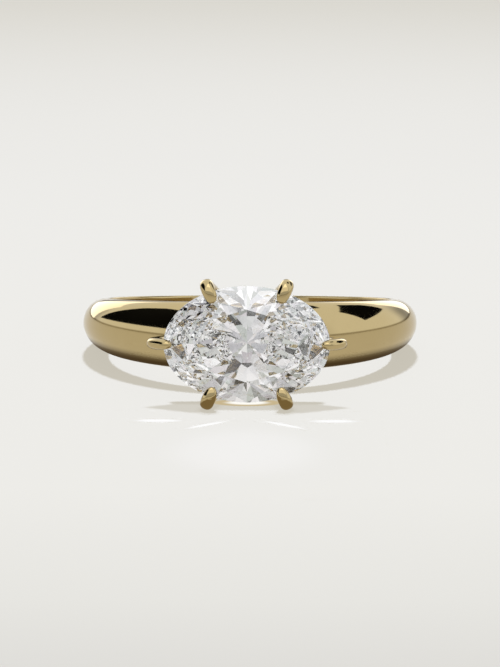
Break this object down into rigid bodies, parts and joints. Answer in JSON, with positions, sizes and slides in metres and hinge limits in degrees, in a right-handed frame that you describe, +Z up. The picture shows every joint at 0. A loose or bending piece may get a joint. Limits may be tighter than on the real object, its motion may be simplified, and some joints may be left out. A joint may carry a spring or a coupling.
{
  "type": "east west ring",
  "caption": "Tapered half-round gold finger ring with an oval brilliant-cut stone set lengthwise along the band in claws, lying on its side.",
  "frame": {"origin": "centre of the finger hole, on its axis, midway across the band", "axes": "+Z up from the surface the ring lies on, +X along the stone's length, -Y the way the stone faces; the finger hole's axis leans 7.1 degrees from +Z towards +Y because the claws lift the stone's side"},
  "size_m": [0.0198, 0.0233, 0.0069],
  "materials": {
    "yellow_gold": "polished 14k yellow gold",
    "diamond": "polished colourless diamond, facets"
  },
  "bodies": {
    "root": {"mounting": "yellow_gold", "stone": "diamond"}
  },
  "joints": []
}
